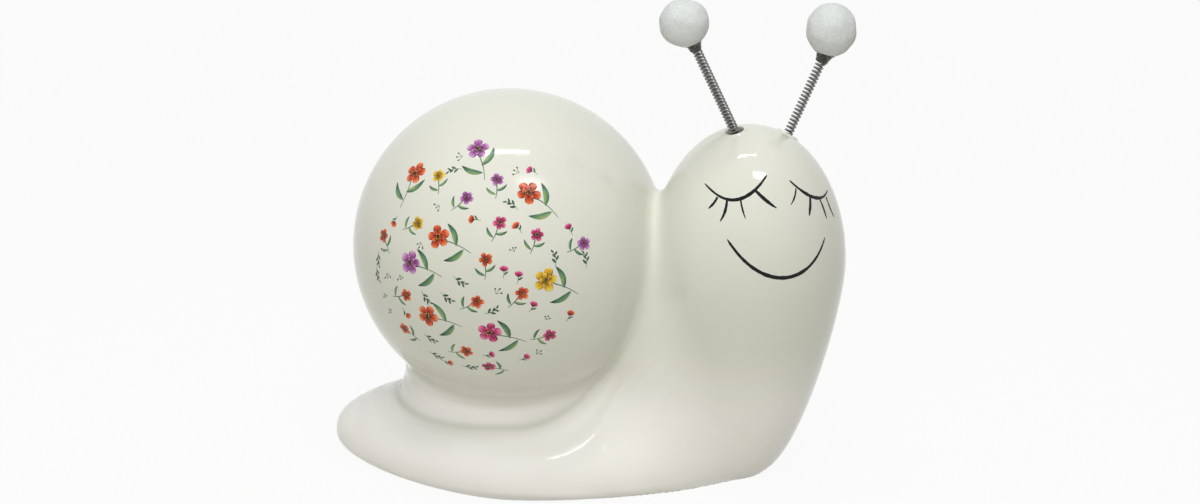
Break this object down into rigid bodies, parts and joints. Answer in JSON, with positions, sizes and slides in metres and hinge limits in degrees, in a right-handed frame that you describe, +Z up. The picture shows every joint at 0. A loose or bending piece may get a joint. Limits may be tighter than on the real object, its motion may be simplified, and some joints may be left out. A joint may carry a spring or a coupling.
{
  "type": "snail figurine",
  "caption": "Glazed hollow ceramic snail ornament with a ball-shaped printed shell, a painted sleeping face and antennae of coiled wire that carry soft balls.",
  "frame": {"origin": "centre of the foot, on the surface that the snail rests on", "axes": "+X along the foot to the head, +Y to the snail's own left across the foot, +Z up"},
  "size_m": [0.1887, 0.114, 0.1799],
  "materials": {
    "glaze": "glossy clear glaze over white",
    "glue": "set clear glue",
    "spring_wire": "drawn steel wire",
    "soft_ball": "matt pressed fibre",
    "face_paint": "fired black line",
    "print_red": "fired transfer",
    "print_pink": "fired transfer",
    "print_mauve": "fired transfer",
    "print_yellow": "fired transfer",
    "print_green": "fired transfer"
  },
  "bodies": {
    "ceramic_body": {"ceramic_snail": "glaze", "left_socket_glue": "glue", "right_socket_glue": "glue", "left_eyelid": "face_paint", "right_eyelid": "face_paint", "left_lashes": "face_paint", "right_lashes": "face_paint", "smile": "face_paint", "print_red": "print_red", "print_pink": "print_pink", "print_mauve": "print_mauve", "print_yellow": "print_yellow", "print_leaves": "print_green"},
    "left_antenna": {"left_antenna_spring": "spring_wire"},
    "left_tip": {"left_ball": "soft_ball", "left_ball_glue": "glue"},
    "right_antenna": {"right_antenna_spring": "spring_wire"},
    "right_tip": {"right_ball": "soft_ball", "right_ball_glue": "glue"}
  },
  "joints": [
    {"name": "left_antenna_sway", "type": "hinge", "parent": "ceramic_body", "child": "left_antenna", "pos_m": [0.09624, 0.00894, 0.13123], "axis": [0.454, -0.891, 0], "range_deg": [-25, 25], "stiffness_Nm_per_rad": 0.008, "springref_deg": 1.15, "deforming": ["left_antenna_spring"]},
    {"name": "left_antenna_nod", "type": "hinge", "parent": "left_antenna", "child": "left_tip", "pos_m": [0.10122, 0.01148, 0.14349], "axis": [0.891, 0.454, 0], "range_deg": [-25, 25], "stiffness_Nm_per_rad": 0.008, "deforming": ["left_antenna_spring"]},
    {"name": "right_antenna_sway", "type": "hinge", "parent": "ceramic_body", "child": "right_antenna", "pos_m": [0.07404, -0.0045, 0.13586], "axis": [0.454, -0.891, 0], "range_deg": [-25, 25], "stiffness_Nm_per_rad": 0.008, "springref_deg": -1.31, "deforming": ["right_antenna_spring"]},
    {"name": "right_antenna_nod", "type": "hinge", "parent": "right_antenna", "child": "right_tip", "pos_m": [0.06771, -0.00773, 0.15043], "axis": [0.891, 0.454, 0], "range_deg": [-25, 25], "stiffness_Nm_per_rad": 0.008, "deforming": ["right_antenna_spring"]}
  ]
}
